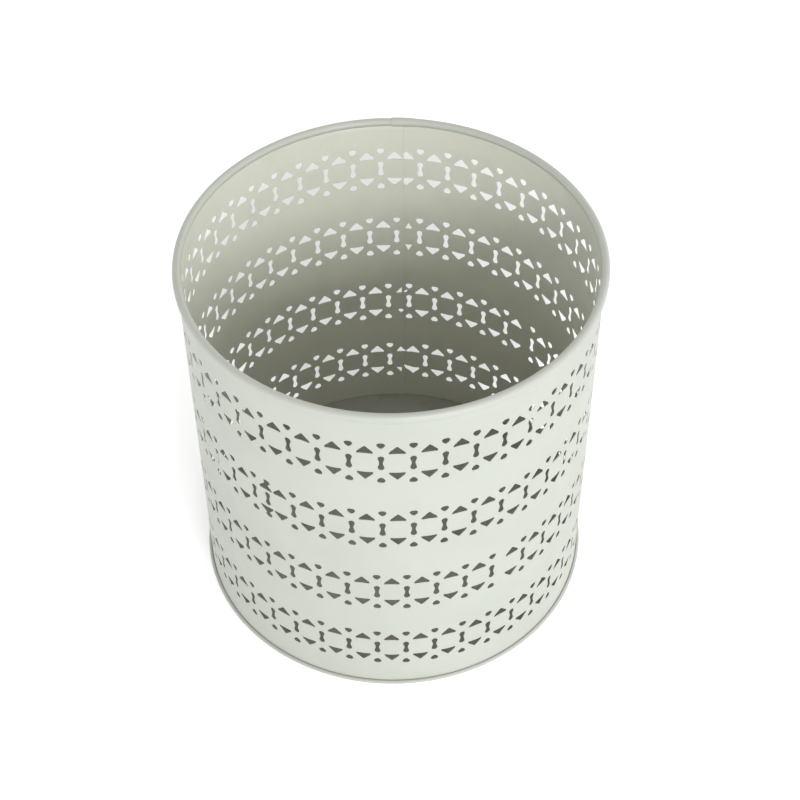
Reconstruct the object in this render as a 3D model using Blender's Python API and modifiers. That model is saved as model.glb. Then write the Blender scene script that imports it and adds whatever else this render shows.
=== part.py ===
"""Squat round umbrella stand of painted, punched sheet steel.

The stand is rolled from one strip of punched sheet, lapped and joined at the back. The top
edge is curled inwards round a steel wire, and the bottom edge is turned out and gripped by
the folded edge of a flat base pan. Everything is in metres, +Z up, the front faces -Y, and
the origin is the centre of the underside of the base pan.
"""

import math

import bmesh
import bpy
from mathutils import Matrix, Vector

MM = 0.001

# Driving dimensions of the whole stand
RIM_RADIUS = 127.0 * MM          # outside of the rolled rim
RIM_HEIGHT = 254.0 * MM          # centre of the rolled rim above the floor
WALL_RADIUS = 124.4 * MM         # outer face of the wall
BASE_RADIUS = 126.6 * MM         # outside of the base pan's folded edge
SHEET = 0.5 * MM                 # thickness of the wall and of the base pan
CLEARANCE = 0.3 * MM             # between pieces that touch

# Rolled rim and the wire inside it
BEAD_RADIUS = 2.4 * MM           # outer radius of the roll's section
CURL_START = math.radians(255)   # free edge of the curl, tucked against the wall
CURL_END = math.radians(-15)     # where the curl runs into the wall's flare
CURL_STEPS = 6
WIRE_RADIUS = 1.45 * MM
WIRE_SIDES = 8
FLARE_DROP = 5.2 * MM            # height over which the wall flares out to the rim

# Folded joint between the wall and the base pan
FLANGE_TIP_RADIUS = 125.8 * MM
LIP_INNER_RADIUS = 124.75 * MM

# Punched pattern: bands of waisted slots with a pair of triangles between neighbours
PITCH = math.radians(8.2915)     # angle from one slot to the next
PITCHES = 43                     # motifs in a band, the rest of the turn is the lap
ROWS_BELOW_RIM = (37.8 * MM, 96.8 * MM, 157.5 * MM, 215.9 * MM)
SLOT_HEIGHT = 11.7 * MM
SLOT_WIDTH = 3.6 * MM
SLOT_WAIST = 2.4 * MM
TRIANGLE_WIDTH = 9.4 * MM
TRIANGLE_NEAR = 7.8 * MM         # base line, from the middle of the band
TRIANGLE_FAR = 14.2 * MM         # apex, from the middle of the band
SLOT_FROM_FACET_EDGE = math.radians(1.85)
PUNCH_REACH = 3.0 * MM           # how far a punch passes the sheet on either side

# Lap seam at the back
SEAM_AZIMUTH = math.radians(175.1)
SEAM_WIDTH = 2 * math.pi - PITCHES * PITCH
LAP_END_MARGIN = 3.0 * MM        # the doubled strip stops short of the flange and the flare

SHEET_MIDDLE = WALL_RADIUS - SHEET / 2
BEAD_CENTRE = RIM_RADIUS - BEAD_RADIUS
FACET_SWELL = 1 / math.cos(PITCH / 2)   # each facet's middle lies on the true round

PAINT = (0.66, 0.70, 0.61)
STEEL = (0.50, 0.50, 0.49)


def clear_scene():
    for obj in list(bpy.data.objects):
        bpy.data.objects.remove(obj, do_unlink=True)


def new_collection(name):
    collection = bpy.data.collections.new(name)
    bpy.context.scene.collection.children.link(collection)
    return collection


def material(name, colour, roughness, metallic):
    mat = bpy.data.materials.new(name)
    mat.use_nodes = True
    shader = mat.node_tree.nodes["Principled BSDF"]
    shader.inputs["Base Color"].default_value = (*colour, 1.0)
    shader.inputs["Roughness"].default_value = roughness
    shader.inputs["Metallic"].default_value = metallic
    mat.diffuse_color = (*colour, 1.0)
    return mat


def new_object(name, bm, collection, mat=None):
    mesh = bpy.data.meshes.new(name)
    bm.to_mesh(mesh)
    bm.free()
    obj = bpy.data.objects.new(name, mesh)
    collection.objects.link(obj)
    if mat is not None:
        mesh.materials.append(mat)
    return obj


def direction(azimuth):
    """Unit vector at an azimuth counted from the front (-Y) towards +X."""
    return Vector((math.sin(azimuth), -math.cos(azimuth), 0.0))


def facet_azimuths():
    """Middle azimuth of each facet that carries a motif, going round from the lap."""
    first_edge = SEAM_AZIMUTH - SEAM_WIDTH / 2
    return [first_edge - (k + 0.5) * PITCH for k in range(PITCHES)]


def turn(profile, closed=False):
    """Turn a profile of (radius, height) points about Z, one facet for each motif."""
    bm = bmesh.new()
    start = direction(SEAM_AZIMUTH + SEAM_WIDTH / 2) * FACET_SWELL
    points = [bm.verts.new((start.x * r, start.y * r, z)) for r, z in profile]
    pairs = list(zip(points, points[1:]))
    if closed:
        pairs.append((points[-1], points[0]))
    edges = [bm.edges.new(pair) for pair in pairs]
    geometry = points + edges
    for angle, steps in ((PITCH * PITCHES, PITCHES), (SEAM_WIDTH, 1)):
        made = bmesh.ops.spin(bm, geom=geometry, cent=(0, 0, 0), axis=(0, 0, 1),
                              angle=angle, steps=steps)
        geometry = made["geom_last"]
    bmesh.ops.remove_doubles(bm, verts=bm.verts, dist=0.01 * MM)
    bmesh.ops.recalc_face_normals(bm, faces=bm.faces)
    return bm


def shade(obj):
    obj.data.shade_smooth()
    obj.data.set_sharp_from_angle(angle=math.radians(30))


def thicken(obj):
    solidify = obj.modifiers.new("sheet thickness", "SOLIDIFY")
    solidify.thickness = SHEET
    solidify.offset = 0.0
    solidify.use_even_offset = True


def wall_profile():
    """Middle of the sheet, from the curl's free edge over the rim and down to the flange."""
    bend = BEAD_RADIUS - SHEET / 2
    points = []
    for step in range(CURL_STEPS + 1):
        angle = CURL_START + (CURL_END - CURL_START) * step / CURL_STEPS
        points.append((BEAD_CENTRE + bend * math.cos(angle),
                       RIM_HEIGHT + bend * math.sin(angle)))
    points.append((SHEET_MIDDLE, RIM_HEIGHT - FLARE_DROP))
    flange_height = SHEET + CLEARANCE + SHEET / 2
    points.append((SHEET_MIDDLE, flange_height))
    points.append((FLANGE_TIP_RADIUS, flange_height))
    return points


def pan_profile():
    """Middle of the sheet, from the centre of the floor to the lip over the wall's flange."""
    side = BASE_RADIUS - SHEET / 2
    lip_height = 2 * SHEET + 2 * CLEARANCE + SHEET / 2
    return [(0.0, SHEET / 2), (side, SHEET / 2), (side, lip_height),
            (LIP_INNER_RADIUS, lip_height)]


def wire_profile():
    return [(BEAD_CENTRE + WIRE_RADIUS * math.cos(2 * math.pi * k / WIRE_SIDES),
             RIM_HEIGHT + WIRE_RADIUS * math.sin(2 * math.pi * k / WIRE_SIDES))
            for k in range(WIRE_SIDES)]


def slot_outline():
    top, wide, narrow = SLOT_HEIGHT / 2, SLOT_WIDTH / 2, SLOT_WAIST / 2
    return [(-wide, -top), (wide, -top), (narrow, 0.0), (wide, top), (-wide, top), (-narrow, 0.0)]


def triangle_outline(up):
    half = TRIANGLE_WIDTH / 2
    return [(-half, up * TRIANGLE_NEAR), (half, up * TRIANGLE_NEAR), (0.0, up * TRIANGLE_FAR)]


def add_punch(bm, outline, middle_azimuth, across, height):
    """Add a straight punch, square to one facet of the wall, to the cutters' mesh."""
    out = direction(middle_azimuth)
    tangent = Vector((-out.y, out.x, 0.0))
    frame = Matrix((tangent, (0.0, 0.0, 1.0), out)).transposed()
    corners = []
    for x, y in outline:
        place = frame @ Vector((x + across, y + height, SHEET_MIDDLE - PUNCH_REACH))
        corners.append(bm.verts.new(place))
    bottom = bm.faces.new(corners)
    made = bmesh.ops.extrude_face_region(bm, geom=[bottom])
    top = [item for item in made["geom"] if isinstance(item, bmesh.types.BMVert)]
    bmesh.ops.translate(bm, verts=top, vec=out * 2 * PUNCH_REACH)


def make_punches(collection):
    bm = bmesh.new()
    slot_angle = PITCH / 2 - SLOT_FROM_FACET_EDGE
    slot_across = SHEET_MIDDLE * math.tan(slot_angle)
    triangle_across = SHEET_MIDDLE * math.tan(slot_angle - PITCH / 2)
    for azimuth in facet_azimuths():
        for drop in ROWS_BELOW_RIM:
            height = RIM_HEIGHT - drop
            add_punch(bm, slot_outline(), azimuth, slot_across, height)
            for up in (1, -1):
                add_punch(bm, triangle_outline(up), azimuth, triangle_across, height)
    bmesh.ops.recalc_face_normals(bm, faces=bm.faces)
    return as_cutter(new_object("punches", bm, collection))


def make_lap(collection):
    """The strip of doubled sheet on the inside of the seam facet."""
    bm = bmesh.new()
    bmesh.ops.create_cube(bm, size=1.0)
    width = 2 * SHEET_MIDDLE * math.sin(SEAM_WIDTH / 2)
    bottom = LAP_END_MARGIN
    top = RIM_HEIGHT - FLARE_DROP - LAP_END_MARGIN
    depth = SHEET * 1.5
    radius = SHEET_MIDDLE * FACET_SWELL * math.cos(SEAM_WIDTH / 2) - depth / 2
    bmesh.ops.scale(bm, verts=bm.verts, vec=(width, depth, top - bottom))
    bmesh.ops.translate(bm, verts=bm.verts, vec=(0.0, -radius, (top + bottom) / 2))
    bmesh.ops.rotate(bm, verts=bm.verts, matrix=Matrix.Rotation(SEAM_AZIMUTH, 3, "Z"))
    return as_cutter(new_object("lap", bm, collection))


def as_cutter(obj):
    obj.hide_render = True
    obj.display_type = "WIRE"
    return obj


def boolean(obj, other, operation):
    modifier = obj.modifiers.new(other.name, "BOOLEAN")
    modifier.operation = operation
    modifier.object = other
    modifier.solver = "EXACT"


def make_wall(parts, cutters, paint):
    wall = new_object("perforated_wall", turn(wall_profile()), parts, paint)
    shade(wall)
    thicken(wall)
    boolean(wall, make_lap(cutters), "UNION")
    boolean(wall, make_punches(cutters), "DIFFERENCE")
    return wall


def make_base_pan(parts, paint):
    pan = new_object("base_pan", turn(pan_profile()), parts, paint)
    shade(pan)
    thicken(pan)
    return pan


def make_rim_wire(parts, steel):
    wire = new_object("rim_wire", turn(wire_profile(), closed=True), parts, steel)
    shade(wire)
    return wire


def main():
    clear_scene()
    parts = new_collection("umbrella_stand")
    cutters = new_collection("cutters")
    paint_outside = material("wall paint", PAINT, 0.42, 0.0)
    paint_base = material("base paint", PAINT, 0.45, 0.0)
    bare_steel = material("wire steel", STEEL, 0.35, 1.0)
    make_wall(parts, cutters, paint_outside)
    make_base_pan(parts, paint_base)
    make_rim_wire(parts, bare_steel)


main()
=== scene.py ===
"""Looks of a squat round umbrella stand of painted, punched sheet steel.

The wall is one strip of thin sheet. It is punched while flat, rolled into a drum and lapped at
the back, its top edge is curled inwards round a wire, and its bottom edge is turned out and
gripped by the folded edge of the base pan. The script makes it in that order: the holes are
laid out on the flat strip, and every point of the strip is then placed on the drum.
"""

import math

import bmesh
import bpy
import numpy as np
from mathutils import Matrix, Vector
from mathutils.geometry import delaunay_2d_cdt


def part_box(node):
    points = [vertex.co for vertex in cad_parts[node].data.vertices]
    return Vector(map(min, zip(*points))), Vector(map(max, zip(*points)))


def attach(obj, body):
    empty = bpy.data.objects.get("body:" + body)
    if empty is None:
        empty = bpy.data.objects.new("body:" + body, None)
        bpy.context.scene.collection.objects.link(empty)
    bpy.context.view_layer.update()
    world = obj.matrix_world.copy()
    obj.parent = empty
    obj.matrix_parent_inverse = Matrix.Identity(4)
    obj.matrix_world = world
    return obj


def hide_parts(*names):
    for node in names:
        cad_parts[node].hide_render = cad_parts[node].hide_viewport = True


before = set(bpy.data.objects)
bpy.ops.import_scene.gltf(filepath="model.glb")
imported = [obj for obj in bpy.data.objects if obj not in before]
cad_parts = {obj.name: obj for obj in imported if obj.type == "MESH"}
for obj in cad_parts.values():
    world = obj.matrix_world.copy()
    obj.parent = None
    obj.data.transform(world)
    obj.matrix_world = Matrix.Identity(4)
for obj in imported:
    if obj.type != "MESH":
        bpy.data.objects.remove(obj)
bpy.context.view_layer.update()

MM = 0.001
PITCH = 8.2915                    # degrees from one slot to the next


def round_radius(node):
    """Radius, in mm, of the round that a turned CAD node's facets stand for."""
    corner = max(math.hypot(v.co.x, v.co.y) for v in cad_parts[node].data.vertices)
    return corner * math.cos(math.radians(PITCH) / 2) / MM


# Sizes of the drum, in mm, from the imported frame
RIM_RADIUS = round_radius("perforated_wall")
RIM_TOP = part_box("perforated_wall")[1].z / MM
BASE_RADIUS = round_radius("base_pan")

# Sheet, folds and rolled rim, in mm
SHEET = 0.5
RIM_STAND_OUT = 2.5               # the rim stands this far proud of the wall
BEAD_RADIUS = 2.55
CURL_START = -20.0                # degrees round the bead, where the flare runs into it
CURL_END = 255.0                  # degrees round the bead, at the sheet's free edge
FLARE_HEIGHT = 5.4
FOLD_RADIUS = 0.45
SHOULDER_RADIUS = 1.0             # where the base pan's lip turns in over the flange
LIP_SLOPE = 14.0                  # degrees that the lip rises towards the wall
LIP_GAP = 0.4                     # between the lip's edge and the wall
FLANGE_GAP = 0.06                 # between the wall's flange and the base pan
FLANGE_STAND_OUT = 1.65           # the flange's tip beyond the middle of the wall
WIRE_RADIUS = 1.45

WALL_MIDDLE = RIM_RADIUS - RIM_STAND_OUT - SHEET / 2
BEAD_CENTRE = RIM_RADIUS - BEAD_RADIUS
BEAD_HEIGHT = RIM_TOP - BEAD_RADIUS
FLANGE_HEIGHT = SHEET + FLANGE_GAP + SHEET / 2
ARC = math.radians(1) * WALL_MIDDLE      # mm of strip in a degree of the drum

# The strip's two ends, in degrees from the front towards +X, and the lap between them
STRIP_START = -184.0              # inner end
STRIP_END = 179.4                 # outer end
LAP_OUT = 0.27                    # mm that the outer end is pushed out
LAP_OUT_FROM = 171.5              # degrees where it starts to be pushed out
LAP_OUT_OVER = 3.5                # degrees that this takes
LAP_IN = 0.25                     # mm that the inner end is pushed in
LAP_IN_FROM = -177.0
LAP_IN_OVER = 3.6
BOTH_LAYERS_BEYOND = -178.0       # what is punched past here also passes the outer end

# Punched pattern, in mm: bands of waisted slots, dots above and below, triangles between
BANDS_BELOW_BEAD = (37.8, 96.8, 157.5, 215.9)
DOT_OFFSET = 14.6
PUNCHED_EDGE = 0.12               # roundness of the painted edge of a hole
ODD_CUT_ROUNDING = 0.5

# Runs of the punching tool: band, azimuth of the first slot, slots, triangles before and after
RUNS = (
    (0, -177.25, 43, True, True),
    (1, -181.83, 18, False, True),
    (1, -36.19, 26, False, False),
    (2, -179.03, 26, False, False),
    (2, 39.05, 12, True, False),
    (2, 141.21, 5, True, False),
    (3, -179.29, 43, False, True),
)

# Odd cuts where the strip's ends were punched separately: band, through both layers, corners as
# (azimuth, height above the middle of the band)
ODD_CUTS = (
    (1, False, ((175.7, 7.0), (174.5, 12.4), (173.3, 7.0))),
    (1, False, ((175.7, -7.2), (173.3, -7.2), (174.5, -12.6))),
    (2, True, ((178.85, 7.9), (176.65, 14.0), (176.65, 7.9))),
    (2, True, ((176.60, 8.2), (176.2, 9.3), (175.2, 11.2), (174.75, 10.6), (175.2, 8.5))),
    (2, True, ((177.95, -9.0), (177.0, -11.4), (176.0, -9.4), (176.3, -7.2), (177.6, -7.1))),
    (3, True, ((178.8, 7.9), (177.1, 13.6), (175.45, 8.6), (175.5, 7.9))),
    (3, True, ((178.95, -8.0), (176.8, -8.0), (176.8, -14.0))),
    (3, False, ((176.2, -5.6), (173.0, -7.7), (173.0, -14.0), (175.6, -9.6))),
)

# Fineness of the meshes
COLUMN = 1.5                      # degrees between the strip's grid columns
WALL_ROW = 8.0                    # mm between the strip's grid rows
EDGE_STEPS = 2                    # across the thickness of the sheet
TURNED_STEPS = 240
PAN_RINGS = (0, 30, 60, 90, 110, 120)    # mm, where the pan's flat has vertices
PAN_FLOOR = 124.4                 # mm, where the pan's floor meets the wall

# Colours, linear
SAGE = (0.422, 0.443, 0.394)
SAGE_LIGHT = (0.443, 0.464, 0.416)
# painted light: a lighter copy of the outside's sage, given to the inside near the rim
SAGE_INSIDE_PAINTED_LIGHT = (0.590, 0.604, 0.522)
SAGE_PAINTED_SHADE = (0.490, 0.496, 0.414)       # painted shade deep inside the drum, darker than the inside near the rim
SAGE_PAN_PAINTED_SHADE = (0.315, 0.318, 0.266)      # painted shade on the pan's floor, at the bottom of the drum
SCUFFED = (0.215, 0.217, 0.185)
WORN = (0.330, 0.335, 0.300)
STEEL_GREY = (0.42, 0.42, 0.41)
STEEL_BLOOM = (0.58, 0.58, 0.57)
PAPER = (0.90, 0.90, 0.90)
PAPER_LIGHT = (0.92, 0.92, 0.92)
# paper in the painted shade behind the stand
PAPER_SHADED = (0.87, 0.87, 0.86)

# The pan's upper side takes the painted shade within this radius, in mm: its floor, and its lip's edge
# in the groove at the wall's foot
PAN_SHADE_RADIUS = 125.0

# How far below the rim, in metres, the inside's painted shade starts and stops darkening
PAINTED_SHADE_DEPTHS = (0.085, 0.160)

# Studio: bright walls all round, a dimmer ceiling, a glowing floor and one soft key light
WHITE = (1.0, 1.0, 1.0)
WALL_LIGHT = 1.42
WALL_TOP = 20.0                   # degrees above the horizon
CEILING_EDGE = 34.0
CEILING_LIGHT = 0.76
CEILING_SLANT = 0.62              # how much brighter the ceiling is towards the right
FLOOR_GLOW = 0.27
SHADE_PLACE = (0.0, 0.268, 0.0)   # middle of the soft shade painted on the floor behind the stand
SHADE_REACH = (0.132, 0.172)      # where the shade starts to thin out, and where it ends
KEY_POWER = 20.0                  # W
KEY_PLACE = (0.58, -1.92, 1.06)
KEY_AIM = (0.0, 0.0, 0.12)
KEY_SIZE = 0.6
FLOOR_HALF = 4.0                  # half the floor's side
FLOOR_DROP = 0.0002               # gap under the stand

# Camera, from the front and above, with the rim's middle near the middle of the image
CAMERA_PLACE = (0.0, -0.7491, 0.9575)
CAMERA_TURN = (42.178, 0.245, -0.628)
CAMERA_LENS = 79.34
CAMERA_SENSOR = 36.0


# ---------------------------------------------------------------- outlines of the punches

def soften(corners):
    """Round the corners of an outline. Each corner is (x, y, how far the rounding reaches)."""
    points = []
    for i, (x, y, reach) in enumerate(corners):
        here = np.array((x, y))
        before = np.array(corners[i - 1][:2])
        after = np.array(corners[(i + 1) % len(corners)][:2])
        start = here + (before - here) * min(0.45, reach / np.linalg.norm(before - here))
        end = here + (after - here) * min(0.45, reach / np.linalg.norm(after - here))
        for t in (0.0, 0.5, 1.0):
            points.append((1 - t) ** 2 * start + 2 * t * (1 - t) * here + t * t * end)
    return np.array(points)


def ease(t):
    """Smooth step from 0 to 1."""
    t = np.clip(t, 0, 1)
    return t * t * (3 - 2 * t)


def slot_outline():
    """Waisted slot: narrow in the middle, with a rounded, slightly pointed lobe at each end."""
    waist, lobe, lobe_height, end = 1.1, 1.98, 4.0, 2.05
    side = []
    for share in (0.0, 0.36, 0.7, 1.0):
        side.append((waist + (lobe - waist) * ease(share), lobe_height * share))
    for degrees in (32, 62):
        angle = math.radians(degrees)
        side.append((lobe * math.cos(angle) ** 1.15, lobe_height + end * math.sin(angle)))
    upper = side + [(0.0, lobe_height + end)] + [(-x, y) for x, y in reversed(side)]
    lower = [(-x, -y) for x, y in upper[1:-1]]
    return np.array(upper + lower)


def triangle_outline():
    """Flat triangle over a slot band, apex up, with drooping corners and hollow sides."""
    half, near, far, blunt = 4.8, 7.5, 14.45, 1.9
    side = [(half, near, 0.8), (half - 0.15, near + blunt, 0.8), (2.2, near + 4.5, 1.4)]
    left = [(-x, y, reach) for x, y, reach in reversed(side)]
    return soften([(0.0, near + 0.4, 2.4)] + side + [(0.0, far, 0.9)] + left)


def dot_outline():
    """Rounded shield, flat on the side away from the band."""
    side = [(1.65, 2.3, 0.8), (2.72, 0.4, 0.9), (1.45, -1.7, 0.8)]
    left = [(-x, y, reach) for x, y, reach in reversed(side)]
    return soften(side + [(0.0, -2.7, 0.8)] + left)


def punch(outline, azimuth, height, flip=1):
    """An outline at its place on the flat strip; a flip of -1 turns it upside down."""
    return outline * (1.0, flip) + (azimuth * ARC, height)


def lay_out_holes():
    """All the holes of the flat strip, as outlines in mm."""
    slot, triangle, dot = slot_outline(), triangle_outline(), dot_outline()
    holes = []

    def strike(outline, azimuth, height, flip=1):
        holes.append(punch(outline, azimuth, height, flip))
        if azimuth < BOTH_LAYERS_BEYOND:
            holes.append(punch(outline, azimuth + 360, height, flip))

    for band, first, count, before, after in RUNS:
        height = BEAD_HEIGHT - BANDS_BELOW_BEAD[band]
        for n in range(count):
            azimuth = first + n * PITCH
            strike(slot, azimuth, height)
            for flip in (1, -1):
                strike(dot, azimuth, height + flip * DOT_OFFSET, flip)
        for n in range(0 if before else 1, count + (1 if after else 0)):
            for flip in (1, -1):
                strike(triangle, first + (n - 0.5) * PITCH, height, flip)
    for band, both_layers, corners in ODD_CUTS:
        height = BEAD_HEIGHT - BANDS_BELOW_BEAD[band]
        shape = soften([(azimuth * ARC, y, ODD_CUT_ROUNDING) for azimuth, y in corners])
        holes.append(punch(shape, 0, height))
        if both_layers:
            holes.append(punch(shape, -360, height))
    return holes


# ---------------------------------------------------------------- section of the sheet

def arc(centre, radius, start, end, step=12.0):
    """Points along an arc, angles in degrees."""
    count = max(2, round(abs(end - start) / step))
    angles = np.radians(np.linspace(start, end, count + 1))
    return [(centre[0] + radius * math.cos(a), centre[1] + radius * math.sin(a)) for a in angles]


def sweep(start, start_way, end, end_way, steps):
    """Smooth curve that leaves start along start_way and reaches end along end_way."""
    start, end = np.array(start), np.array(end)
    start_way, end_way = np.array(start_way), np.array(end_way)
    points = []
    for t in np.linspace(0, 1, steps + 1):
        points.append((2 * t ** 3 - 3 * t ** 2 + 1) * start + (t ** 3 - 2 * t ** 2 + t) * start_way
                      + (3 * t ** 2 - 2 * t ** 3) * end + (t ** 3 - t ** 2) * end_way)
    return [tuple(p) for p in points]


def wall_section():
    """Middle of the sheet as (radius, height), from the flange's tip to the curl's free edge."""
    fold = (WALL_MIDDLE + FOLD_RADIUS, FLANGE_HEIGHT + FOLD_RADIUS)
    bend = BEAD_RADIUS - SHEET / 2
    start = math.radians(CURL_START)
    bead_way = np.array((-math.sin(start), math.cos(start))) * FLARE_HEIGHT
    curl = arc((BEAD_CENTRE, BEAD_HEIGHT), bend, CURL_START, CURL_END)
    flare_foot = (WALL_MIDDLE, curl[0][1] - FLARE_HEIGHT)
    flare = sweep(flare_foot, (0, FLARE_HEIGHT), curl[0], bead_way, 7)
    tip = [(WALL_MIDDLE + FLANGE_STAND_OUT, FLANGE_HEIGHT)]
    return tip + arc(fold, FOLD_RADIUS, 270, 180, 18), flare[:-1] + curl


class Section:
    """The sheet's section by its length: a height on the straight wall is its own length."""

    def __init__(self):
        below, above = wall_section()
        path = np.array(below + above)
        steps = np.linalg.norm(np.diff(path, axis=0), axis=1)
        self.length = np.concatenate(([0.0], np.cumsum(steps)))
        self.length += below[-1][1] - self.length[len(below) - 1]
        way = np.gradient(path, self.length, axis=0)
        way /= np.linalg.norm(way, axis=1)[:, None]
        self.table = np.column_stack((path, way))
        self.straight = (self.length[len(below) - 1], self.length[len(below)])

    def rows(self):
        low, high = self.straight
        wall = np.linspace(low, high, round((high - low) / WALL_ROW) + 1)[1:-1]
        return np.sort(np.concatenate((self.length, wall)))

    def at(self, length):
        """Radius, height, and the direction up the sheet, at each length."""
        return [np.interp(length, self.length, column) for column in self.table.T]


def lap_shift(azimuth):
    """How far the sheet stands off its middle surface, where its ends lap."""
    outer = ease((azimuth - LAP_OUT_FROM) / LAP_OUT_OVER) * LAP_OUT
    inner = ease((LAP_IN_FROM - azimuth) / LAP_IN_OVER) * LAP_IN
    return outer - inner


# ---------------------------------------------------------------- the strip, flat and rolled

def clear_of_holes(points, holes, margin=0.5):
    """Which points lie outside the box of every hole, with a margin."""
    keep = np.ones(len(points), bool)
    order = np.argsort(points[:, 0])
    along = points[order, 0]
    for hole in holes:
        (left, low), (right, high) = hole.min(0) - margin, hole.max(0) + margin
        near = order[np.searchsorted(along, left):np.searchsorted(along, right)]
        y = points[near, 1]
        keep[near[(y > low) & (y < high)]] = False
    return keep


def inside(points, outline):
    """Which points lie inside an outline, by counting the outline's crossings."""
    x, y = points[:, 0], points[:, 1]
    found = np.zeros(len(points), bool)
    for (x0, y0), (x1, y1) in zip(outline, np.roll(outline, -1, axis=0)):
        crosses = (y0 > y) != (y1 > y)
        if crosses.any():
            at = x0 + (y - y0) / (y1 - y0 + (y1 == y0)) * (x1 - x0)
            found ^= crosses & (x < at)
    return found


def flat_strip(section, holes):
    """Triangles of the flat, punched strip: its points (x, y) and its faces."""
    start, end = STRIP_START * ARC, STRIP_END * ARC
    rows = section.rows()
    columns = np.linspace(start, end, round((STRIP_END - STRIP_START) / COLUMN) + 1)
    grid = np.array([(x, y) for y in rows for x in columns])
    on_end = (grid[:, 0] == start) | (grid[:, 0] == end)
    grid = grid[clear_of_holes(grid, holes) | on_end]
    points, edges = [grid], []
    for x in (start, end):
        on_line = np.flatnonzero(grid[:, 0] == x)
        edges += list(zip(on_line[:-1], on_line[1:]))
    count = len(grid)
    for hole in holes:
        points.append(hole)
        ring = np.arange(len(hole)) + count
        edges += list(zip(ring, np.roll(ring, -1)))
        count += len(hole)
    points = np.concatenate(points)
    made = delaunay_2d_cdt([Vector(p) for p in points], [(int(a), int(b)) for a, b in edges],
                           [], 0, 1e-5)
    flat = np.array([tuple(v) for v in made[0]])
    faces = np.array(made[2])
    middles = flat[faces].mean(axis=1)
    keep = (middles[:, 0] > start) & (middles[:, 0] < end)
    order = np.argsort(middles[:, 0])
    along = middles[order, 0]
    for hole in holes:
        low, high = np.searchsorted(along, (hole[:, 0].min(), hole[:, 0].max()))
        near = order[low:high]
        keep[near[inside(middles[near], hole)]] = False
    faces = faces[keep]
    used = np.unique(faces)
    renumber = np.zeros(len(flat), int)
    renumber[used] = np.arange(len(used))
    return flat[used], renumber[faces]


def free_edges(faces, count):
    """Edges with a face on one side only, in the direction that their face runs."""
    edges = np.concatenate((faces[:, (0, 1)], faces[:, (1, 2)], faces[:, (2, 0)]))
    forward = edges[:, 0] * count + edges[:, 1]
    backward = edges[:, 1] * count + edges[:, 0]
    return edges[~np.isin(forward, backward)]


def off_sheet(flat, edges, rim):
    """Unit vectors on the flat strip, at the points of its edges, that point off the sheet."""
    step = flat[edges[:, 1]] - flat[edges[:, 0]]
    aside = np.column_stack((step[:, 1], -step[:, 0]))
    aside /= np.linalg.norm(aside, axis=1)[:, None]
    total = np.zeros((len(flat), 2))
    np.add.at(total, edges[:, 0], aside)
    np.add.at(total, edges[:, 1], aside)
    return total[rim] / np.maximum(np.linalg.norm(total[rim], axis=1), 1e-9)[:, None]


def rolled(section, flat):
    """The rolled sheet's middle at each flat point, its normal, and the flat strip's x and y there."""
    azimuth = flat[:, 0] / ARC
    turn = np.radians(azimuth)
    level = np.zeros(len(flat))
    radius, height, way_out, way_up = [column[:, None] for column in section.at(flat[:, 1])]
    out = np.column_stack((np.sin(turn), -np.cos(turn), level))
    along = np.column_stack((np.cos(turn), np.sin(turn), level))
    up = np.array((0.0, 0.0, 1.0))
    across = out * way_out + up * way_up
    normal = out * way_up - up * way_out
    middle = out * radius + up * height + normal * lap_shift(azimuth)[:, None]
    return middle, normal, along, across


def roll_strip(name, section, flat, faces):
    """Give the flat strip its thickness and rounded edges, and roll it into the drum.

    The points are those of the outer face, a ring for each step round the edges, and those of
    the inner face.
    """
    count = len(flat)
    middle, normal, along, across = rolled(section, flat)
    edges = free_edges(faces, count)
    rim = np.unique(edges)
    off = off_sheet(flat, edges, rim)
    beyond = along[rim] * off[:, :1] + across[rim] * off[:, 1:]
    places = [middle + normal * SHEET / 2]
    normals = [normal]
    for step in range(1, EDGE_STEPS):
        angle = math.pi / 2 - math.pi * step / EDGE_STEPS
        places.append(middle[rim] + normal[rim] * SHEET / 2 * math.sin(angle)
                      + beyond * PUNCHED_EDGE * math.cos(angle))
        normals.append(normal[rim] * PUNCHED_EDGE * math.sin(angle)
                       + beyond * SHEET / 2 * math.cos(angle))
    places.append(middle - normal * SHEET / 2)
    normals.append(-normal)

    inner = count + len(rim) * (EDGE_STEPS - 1)
    rim_place = np.zeros(count, int)
    rim_place[rim] = np.arange(len(rim))
    rings = [edges]
    rings += [rim_place[edges] + count + len(rim) * step for step in range(EDGE_STEPS - 1)]
    rings += [edges + inner]
    polygons = faces.tolist()
    for upper, lower in zip(rings, rings[1:]):
        polygons += np.column_stack((upper[:, ::-1], lower)).tolist()
    polygons += (faces[:, ::-1] + inner).tolist()

    mesh = bpy.data.meshes.new(name)
    mesh.from_pydata((np.concatenate(places) * MM).tolist(), [], polygons)
    normals = np.concatenate(normals)
    normals /= np.linalg.norm(normals, axis=1)[:, None]
    mesh.shade_smooth()
    mesh.normals_split_custom_set_from_vertices(normals.tolist())
    layers = [count] + [len(rim)] * (EDGE_STEPS - 1) + [count]
    on_edge = [0.0] + [1.0] * (EDGE_STEPS - 1) + [0.0]
    add_share(mesh, "edge", np.repeat(on_edge, layers).astype(np.float32))
    add_share(mesh, "inside", np.linspace(0, 1, EDGE_STEPS + 1).repeat(layers).astype(np.float32))
    return new_piece(name, mesh)


def add_share(mesh, name, values):
    """A share from 0 to 1 at each vertex, for the material to read."""
    mesh.attributes.new(name, "FLOAT", "POINT").data.foreach_set("value", values)


def new_piece(name, mesh):
    obj = bpy.data.objects.new(name, mesh)
    bpy.context.scene.collection.objects.link(obj)
    return obj


# ---------------------------------------------------------------- turned pieces

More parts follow.
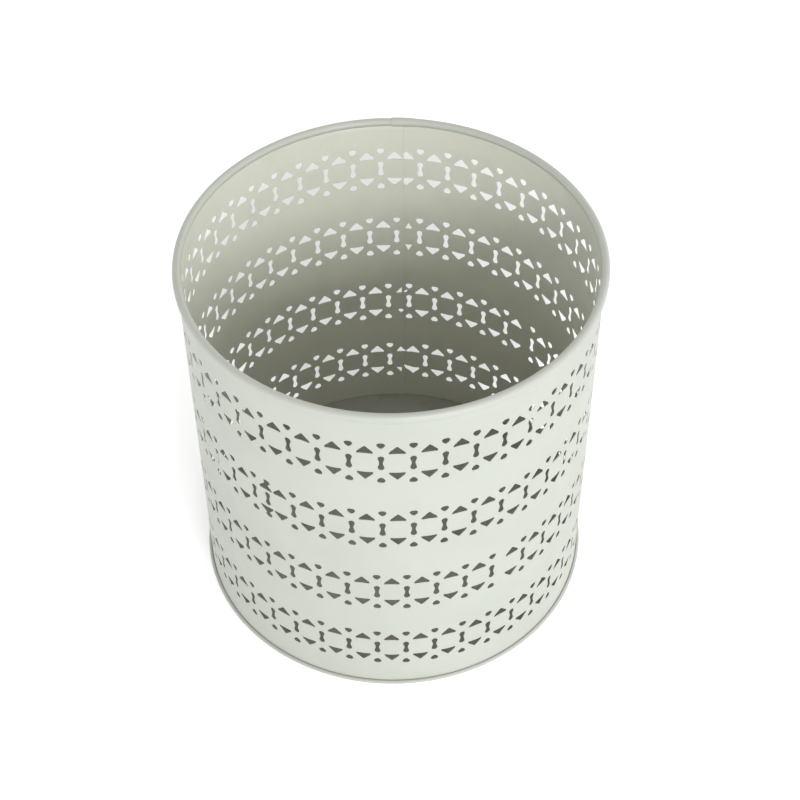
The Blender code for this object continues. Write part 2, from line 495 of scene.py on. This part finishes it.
def turned(name, section, closed):
    """Turn a section of (radius, height) points, in mm, about the drum's axis."""
    bm = bmesh.new()
    points = [bm.verts.new((0.0, -r * MM, z * MM)) for r, z in section]
    pairs = list(zip(points, points[1:]))
    if closed:
        pairs.append((points[-1], points[0]))
    edges = [bm.edges.new(pair) for pair in pairs]
    bmesh.ops.spin(bm, geom=points + edges, cent=(0, 0, 0), axis=(0, 0, 1),
                   angle=2 * math.pi, steps=TURNED_STEPS, use_merge=True)
    bmesh.ops.remove_doubles(bm, verts=bm.verts, dist=0.002 * MM)
    bmesh.ops.recalc_face_normals(bm, faces=bm.faces)
    mesh = bpy.data.meshes.new(name)
    bm.to_mesh(mesh)
    bm.free()
    mesh.shade_smooth()
    mesh.set_sharp_from_angle(angle=math.radians(50))
    return new_piece(name, mesh)


def pan_section():
    """Outline of the pan's sheet, from the centre of its top face round the lip and back."""
    half = SHEET / 2
    slope = math.radians(LIP_SLOPE)
    turn = 90 - LIP_SLOPE
    lower = (BASE_RADIUS - half - FOLD_RADIUS, half + FOLD_RADIUS)
    lip_height = FLANGE_HEIGHT + SHEET + FLANGE_GAP
    upper = (BASE_RADIUS - half - SHOULDER_RADIUS, lip_height - SHOULDER_RADIUS)
    top = (upper[0] + SHOULDER_RADIUS * math.sin(slope), upper[1] + SHOULDER_RADIUS * math.cos(slope))
    reach = top[0] - (WALL_MIDDLE + SHEET + LIP_GAP)
    lip_edge = (top[0] - reach, top[1] + reach * math.tan(slope))
    floor = [(r, SHEET) for r in (*PAN_RINGS, PAN_FLOOR)]
    inner = arc(lower, FOLD_RADIUS - half, 270, 360, 30) + arc(upper, SHOULDER_RADIUS - half, 0, turn)
    edge = arc(lip_edge, half, 180 + turn, turn, 30)
    outer = arc(upper, SHOULDER_RADIUS + half, turn, 0) + arc(lower, FOLD_RADIUS + half, 360, 270)
    under = [(r, 0.0) for r in reversed(PAN_RINGS)]
    return floor + inner + edge + outer + under


def make_pan():
    pan = turned("base_pan_sheet", pan_section(), closed=False)
    mesh = pan.data
    # The pan's floor and its lip's edge in the groove take the inside's painted shade
    within = [float(v.co.z > SHEET / 2 * MM and math.hypot(v.co.x, v.co.y) < PAN_SHADE_RADIUS * MM)
              for v in mesh.vertices]
    add_share(mesh, "inside", within)
    add_share(mesh, "edge", [0.0] * len(mesh.vertices))
    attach(pan, "root")
    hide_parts("base_pan")
    return pan


def make_wire():
    section = arc((BEAD_CENTRE, BEAD_HEIGHT), WIRE_RADIUS, 0, 360, 20)[:-1]
    wire = turned("rim_wire_steel", section, closed=True)
    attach(wire, "root")
    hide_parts("rim_wire")
    return wire


def make_wall():
    section = Section()
    flat, faces = flat_strip(section, lay_out_holes())
    wall = roll_strip("punched_wall", section, flat, faces)
    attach(wall, "root")
    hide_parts("perforated_wall")
    return wall


# ---------------------------------------------------------------- materials

class Nodes:
    """Short way to lay out a material's nodes."""

    def __init__(self, name):
        self.material = bpy.data.materials.new(name)
        self.material.use_nodes = True
        self.tree = self.material.node_tree
        self.shader = self.tree.nodes["Principled BSDF"]
        self.position = self.add("ShaderNodeTexCoord").outputs["Object"]

    def add(self, kind, **settings):
        node = self.tree.nodes.new(kind)
        for name, value in settings.items():
            setattr(node, name, value)
        return node

    def link(self, source, target):
        self.tree.links.new(source, target)

    def noise(self, scale, detail=2.0, roughness=0.5):
        node = self.add("ShaderNodeTexNoise")
        node.inputs["Scale"].default_value = scale
        node.inputs["Detail"].default_value = detail
        node.inputs["Roughness"].default_value = roughness
        self.link(self.position, node.inputs["Vector"])
        return node.outputs["Fac"]

    def spread(self, value, low, high, to_low=0.0, to_high=1.0):
        node = self.add("ShaderNodeMapRange")
        for name, number in (("From Min", low), ("From Max", high),
                             ("To Min", to_low), ("To Max", to_high)):
            node.inputs[name].default_value = number
        self.link(value, node.inputs["Value"])
        return node.outputs["Result"]

    def depth(self, shallow, deep):
        """Share that grows from 0 to 1 between two depths below the rim, in metres."""
        height = self.add("ShaderNodeSeparateXYZ")
        self.link(self.position, height.inputs["Vector"])
        top = RIM_TOP * MM
        return self.spread(height.outputs["Z"], top - shallow, top - deep)

    def share(self, name):
        return self.add("ShaderNodeAttribute", attribute_name=name).outputs["Fac"]

    def times(self, first, second):
        node = self.add("ShaderNodeMath", operation="MULTIPLY")
        for socket, value in zip(node.inputs, (first, second)):
            if isinstance(value, float):
                socket.default_value = value
            else:
                self.link(value, socket)
        return node.outputs[0]

    def mix(self, amount, first, second):
        node = self.add("ShaderNodeMix", data_type="RGBA")
        self.link(amount, node.inputs["Factor"])
        for socket, value in ((node.inputs[6], first), (node.inputs[7], second)):
            if isinstance(value, tuple):
                socket.default_value = (*value, 1.0)
            else:
                self.link(value, socket)
        return node.outputs[2]

    def bump(self, height, strength, distance, under=None):
        node = self.add("ShaderNodeBump")
        node.inputs["Strength"].default_value = strength
        node.inputs["Distance"].default_value = distance
        self.link(height, node.inputs["Height"])
        if under is not None:
            self.link(under, node.inputs["Normal"])
        return node.outputs["Normal"]


def paint(name, roughness, deep, scuffs):
    """Semi-gloss enamel: faint mottling, orange peel, worn edges, and inside painted light near the
    rim turning to painted shade deeper down.

    deep is the painted shade's colour far below the rim, and scuffs is how strong the smudges on it
    are.
    """
    n = Nodes(name)
    mottle = n.spread(n.noise(22.0, 3.0), 0.35, 0.65)
    outside = n.mix(mottle, SAGE, SAGE_LIGHT)
    # Inside: painted light near the rim, turning to painted shade deeper down
    lining = n.mix(n.depth(*PAINTED_SHADE_DEPTHS), SAGE_INSIDE_PAINTED_LIGHT, deep)
    smudge = n.times(n.spread(n.noise(38.0, 4.0, 0.6), 0.50, 0.66), scuffs)
    lining = n.mix(smudge, lining, SCUFFED)
    coated = n.mix(n.share("inside"), outside, lining)
    speck = n.times(n.spread(n.noise(900.0, 1.0), 0.66, 0.74), 0.10)
    coated = n.mix(speck, coated, WORN)
    wear = n.times(n.share("edge"), n.spread(n.noise(160.0, 2.0), 0.42, 0.70, 0.10, 0.75))
    n.link(n.mix(wear, coated, WORN), n.shader.inputs["Base Color"])
    n.link(n.spread(n.noise(70.0, 3.0), 0.3, 0.7, roughness - 0.04, roughness + 0.06),
           n.shader.inputs["Roughness"])
    ripple = n.bump(n.noise(30.0, 1.0), 0.25, 0.0006)
    peel = n.bump(n.noise(620.0, 2.0), 0.22, 0.00008, ripple)
    n.link(peel, n.shader.inputs["Normal"])
    return n.material


def drawn_steel(name):
    """Galvanised wire: grey zinc bloom over fine drawing marks."""
    n = Nodes(name)
    bloom = n.spread(n.noise(240.0, 4.0, 0.6), 0.35, 0.65)
    n.link(n.mix(bloom, STEEL_GREY, STEEL_BLOOM), n.shader.inputs["Base Color"])
    n.link(n.spread(n.noise(480.0, 2.0), 0.3, 0.7, 0.28, 0.46), n.shader.inputs["Roughness"])
    n.shader.inputs["Metallic"].default_value = 1.0
    n.link(n.bump(n.noise(1500.0, 2.0), 0.3, 0.00005), n.shader.inputs["Normal"])
    return n.material


def floor_material():
    """Pale sheet of a light table, with a painted shade behind the stand, where its colour and glow
    are dimmer.
    """
    n = Nodes("studio_floor")
    tint = n.spread(n.noise(3.0, 2.0), 0.3, 0.7)
    paper = n.mix(tint, PAPER, PAPER_LIGHT)
    distance = n.add("ShaderNodeVectorMath", operation="DISTANCE")
    n.link(n.position, distance.inputs[0])
    distance.inputs[1].default_value = SHADE_PLACE
    # Painted shade: a dimmer patch behind the stand, both in colour and in glow
    lit = n.spread(distance.outputs["Value"], *SHADE_REACH)
    n.link(n.mix(lit, PAPER_SHADED, paper), n.shader.inputs["Base Color"])
    n.link(n.times(lit, FLOOR_GLOW), n.shader.inputs["Emission Strength"])
    n.shader.inputs["Roughness"].default_value = 0.9
    n.shader.inputs["Emission Color"].default_value = (*WHITE, 1.0)
    return n.material


# ---------------------------------------------------------------- studio

def make_world():
    """Light from all round, by its height: walls up to WALL_TOP, ceiling above CEILING_EDGE."""
    world = bpy.data.worlds.new("studio")
    bpy.context.scene.world = world
    world.use_nodes = True
    tree = world.node_tree
    direction = tree.nodes.new("ShaderNodeTexCoord")
    axes = tree.nodes.new("ShaderNodeSeparateXYZ")
    ceiling = tree.nodes.new("ShaderNodeMath")
    ceiling.operation = "MULTIPLY_ADD"
    ceiling.inputs[1].default_value = CEILING_SLANT
    ceiling.inputs[2].default_value = CEILING_LIGHT
    light = tree.nodes.new("ShaderNodeMapRange")
    light.interpolation_type = "SMOOTHSTEP"
    light.inputs["From Min"].default_value = math.sin(math.radians(WALL_TOP))
    light.inputs["From Max"].default_value = math.sin(math.radians(CEILING_EDGE))
    light.inputs["To Min"].default_value = WALL_LIGHT
    background = tree.nodes["Background"]
    background.inputs["Color"].default_value = (*WHITE, 1.0)
    tree.links.new(direction.outputs["Generated"], axes.inputs["Vector"])
    tree.links.new(axes.outputs["X"], ceiling.inputs[0])
    tree.links.new(axes.outputs["Z"], light.inputs["Value"])
    tree.links.new(ceiling.outputs[0], light.inputs["To Max"])
    tree.links.new(light.outputs["Result"], background.inputs["Strength"])


def make_key_light():
    light = bpy.data.lights.new("key", "AREA")
    light.size = KEY_SIZE
    light.energy = KEY_POWER
    obj = bpy.data.objects.new("key", light)
    bpy.context.scene.collection.objects.link(obj)
    obj.location = KEY_PLACE
    obj.rotation_euler = (Vector(KEY_AIM) - Vector(KEY_PLACE)).to_track_quat("-Z", "Y").to_euler()


def make_floor():
    bm = bmesh.new()
    bmesh.ops.create_grid(bm, x_segments=4, y_segments=4, size=FLOOR_HALF)
    bmesh.ops.translate(bm, verts=bm.verts, vec=(0, 0, -FLOOR_DROP))
    mesh = bpy.data.meshes.new("floor")
    bm.to_mesh(mesh)
    bm.free()
    floor = new_piece("floor", mesh)
    mesh.materials.append(floor_material())


def make_camera():
    camera = bpy.data.cameras.new("camera")
    camera.sensor_width = CAMERA_SENSOR
    camera.lens = CAMERA_LENS
    obj = bpy.data.objects.new("camera", camera)
    bpy.context.scene.collection.objects.link(obj)
    obj.location = CAMERA_PLACE
    obj.rotation_euler = [math.radians(angle) for angle in CAMERA_TURN]
    bpy.context.scene.camera = obj


make_camera()
make_world()
make_key_light()
make_floor()
bpy.context.scene.view_settings.view_transform = "Standard"
wall_enamel = paint("sage_enamel", 0.40, deep=SAGE_PAINTED_SHADE, scuffs=0.06)
base_enamel = paint("sage_enamel_base", 0.44, deep=SAGE_PAN_PAINTED_SHADE, scuffs=0.60)
make_wall().data.materials.append(wall_enamel)
make_pan().data.materials.append(base_enamel)
make_wire().data.materials.append(drawn_steel("galvanised_wire"))
